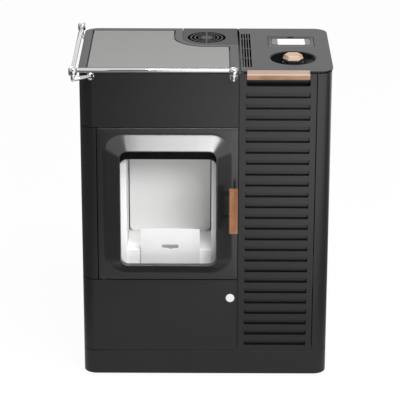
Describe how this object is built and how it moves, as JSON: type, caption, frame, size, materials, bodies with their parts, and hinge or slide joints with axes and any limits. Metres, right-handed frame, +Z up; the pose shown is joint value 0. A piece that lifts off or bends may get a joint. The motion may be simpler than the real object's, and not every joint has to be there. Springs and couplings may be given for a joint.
{
  "type": "pellet stove",
  "caption": "Free-standing pellet cooking stove with a window door, hob plate with rail, louvred pellet bay, hinged hopper lid with display and knob.",
  "frame": {"origin": "on the floor under the middle of the whole object's footprint", "axes": "+X to the right seen from the front, +Y from the front to the back, +Z up"},
  "size_m": [0.7064, 0.467, 0.9178],
  "materials": {
    "black_steel": "satin black powder coat with a fine orange-peel texture",
    "top_steel": "satin dark grey powder coat",
    "hob_iron": "ground light grey cooking plate, dull",
    "rail_chrome": "polished chrome tube and castings",
    "oiled_wood": "oiled light brown wood with straight grain",
    "copper_wood": "light varnished wood, faceted",
    "dark_cast": "matt black stove paint on cast iron",
    "pot_iron": "cast iron burnt pale with a light ash-grey face",
    "window_glass": "clear heat-proof glass",
    "rope_seal": "braided glass-fibre rope",
    "white_button": "glossy white",
    "vermiculite": "pressed light vermiculite board, matt",
    "zinc_sheet": "galvanised sheet, spangled",
    "cast_aluminium": "raw die-cast aluminium",
    "black_plastic": "fine-textured black moulded plastic",
    "display_grey": "smoked glossy display cover",
    "lcd_white": "plain pale backlit screen, no text",
    "rubber": "black rubber"
  },
  "bodies": {
    "casing": {"partition_wall": "black_steel", "base_plinth": "black_steel", "left_side_panel": "black_steel", "right_side_panel": "black_steel", "rear_panel": "black_steel", "upper_front_panel": "black_steel", "louvred_panel": "black_steel", "pellet_hopper": "black_steel", "top_frame": "top_steel", "rail_front_tube": "rail_chrome", "rail_side_tube": "rail_chrome", "rail_bracket_front_left": "rail_chrome", "rail_bracket_rear_left": "rail_chrome", "rail_bracket_right": "rail_chrome", "firebox_casing": "dark_cast", "side_liner_left": "vermiculite", "side_liner_right": "vermiculite", "fireback_panel": "vermiculite", "baffle_plate": "vermiculite", "pot_surround": "vermiculite", "door_hinge_pin_lower": "zinc_sheet", "door_hinge_pin_upper": "zinc_sheet", "lower_door_hinge_rod": "zinc_sheet", "igniter_tube": "zinc_sheet", "auger_tube": "zinc_sheet", "lid_hinge_rod": "zinc_sheet", "air_inlet_pipe": "zinc_sheet", "blower_housing": "zinc_sheet", "smoke_fan_housing": "cast_aluminium", "auger_gear_motor": "black_plastic", "control_box": "black_plastic", "power_inlet": "black_plastic"},
    "firebox_door": {"door_bezel": "black_steel", "door_glass": "window_glass", "door_frame": "dark_cast", "door_gasket": "rope_seal", "door_handle": "oiled_wood", "door_handle_bracket": "dark_cast"},
    "lower_door": {"lower_door": "black_steel"},
    "lower_door_button": {"lower_door_button": "white_button"},
    "ash_drawer": {"ash_drawer": "zinc_sheet"},
    "hopper_lid": {"hopper_lid": "top_steel", "grip_bar": "oiled_wood", "display_bezel": "top_steel", "display_glass": "display_grey", "lcd_panel": "lcd_white"},
    "knob_shaft": {"knob_shaft": "zinc_sheet"},
    "knob": {"knob_base": "black_plastic", "knob_cap": "copper_wood"},
    "main_switch": {"main_switch": "black_plastic"},
    "hob_plate": {"hob_plate": "hob_iron"},
    "flue_cover": {"flue_cover": "top_steel"},
    "burn_pot": {"burn_pot": "pot_iron"},
    "auger_screw": {"auger_screw": "zinc_sheet"},
    "smoke_fan_wheel": {"smoke_fan_wheel": "zinc_sheet"},
    "blower_wheel": {"blower_wheel": "black_plastic"},
    "foot_front_left": {"levelling_foot_front_left": "rubber"},
    "foot_front_right": {"levelling_foot_front_right": "rubber"},
    "foot_rear_left": {"levelling_foot_rear_left": "rubber"},
    "foot_rear_right": {"levelling_foot_rear_right": "rubber"}
  },
  "joints": [
    {"name": "firebox_door_hinge", "type": "hinge", "parent": "casing", "child": "firebox_door", "pos_m": [-0.27485, -0.1805, 0.519], "axis": [0, 0, -1], "range_deg": [0, 95]},
    {"name": "lower_door_hinge", "type": "hinge", "parent": "casing", "child": "lower_door", "pos_m": [-0.32745, -0.1405, 0.19], "axis": [0, 0, -1], "range_deg": [0, 100]},
    {"name": "lower_door_button_push", "type": "slide", "parent": "lower_door", "child": "lower_door_button", "axis": [0, 1, 0], "range_m": [0, 0.003], "stiffness_N_per_m": 400},
    {"name": "ash_drawer_slide", "type": "slide", "parent": "casing", "child": "ash_drawer", "axis": [0, -1, 0], "range_m": [0, 0.14]},
    {"name": "hopper_lid_hinge", "type": "hinge", "parent": "casing", "child": "hopper_lid", "pos_m": [0.22915, 0.2248, 0.8955], "axis": [-1, 0, 0], "range_deg": [0, 75]},
    {"name": "knob_push", "type": "slide", "parent": "hopper_lid", "child": "knob_shaft", "axis": [0, 0, -1], "range_m": [0, 0.0015], "stiffness_N_per_m": 800, "springref_m": -0.001},
    {"name": "knob_turn", "type": "hinge", "parent": "knob_shaft", "child": "knob", "pos_m": [0.24855, -0.0668, 0.905], "axis": [0, 0, 1], "continuous": true},
    {"name": "main_switch_rock", "type": "hinge", "parent": "casing", "child": "main_switch", "pos_m": [0.27815, 0.2155, 0.135], "axis": [1, 0, 0], "range_deg": [-8, 8]},
    {"name": "hob_plate_lift", "type": "slide", "parent": "casing", "child": "hob_plate", "axis": [0, 0, 1], "range_m": [0, 0.04]},
    {"name": "flue_cover_lift", "type": "slide", "parent": "casing", "child": "flue_cover", "axis": [0, 0, 1], "range_m": [0, 0.03]},
    {"name": "burn_pot_lift", "type": "slide", "parent": "casing", "child": "burn_pot", "axis": [0, 0, 1], "range_m": [0, 0.03]},
    {"name": "auger_turn", "type": "hinge", "parent": "casing", "child": "auger_screw", "pos_m": [0.25115, -0.0775, 0.46], "axis": [-0.7071, 0, 0.7071], "continuous": true},
    {"name": "smoke_fan_turn", "type": "hinge", "parent": "casing", "child": "smoke_fan_wheel", "pos_m": [0.01325, 0.1425, 0.2], "axis": [0, 1, 0], "continuous": true},
    {"name": "blower_turn", "type": "hinge", "parent": "casing", "child": "blower_wheel", "pos_m": [0.22115, 0.0725, 0.10765], "axis": [1, 0, 0], "continuous": true},
    {"name": "foot_front_left_turn", "type": "hinge", "parent": "casing", "child": "foot_front_left", "pos_m": [-0.26885, -0.1275, 0.006], "axis": [0, 0, 1], "continuous": true},
    {"name": "foot_front_right_turn", "type": "hinge", "parent": "casing", "child": "foot_front_right", "pos_m": [0.29115, -0.1275, 0.006], "axis": [0, 0, 1], "continuous": true},
    {"name": "foot_rear_left_turn", "type": "hinge", "parent": "casing", "child": "foot_rear_left", "pos_m": [-0.26885, 0.1615, 0.006], "axis": [0, 0, 1], "continuous": true},
    {"name": "foot_rear_right_turn", "type": "hinge", "parent": "casing", "child": "foot_rear_right", "pos_m": [0.29115, 0.1615, 0.006], "axis": [0, 0, 1], "continuous": true}
  ],
  "couplings": [
    {"joint": "ash_drawer_slide", "follows": "lower_door_hinge", "m_per_rad": 0.08}
  ]
}
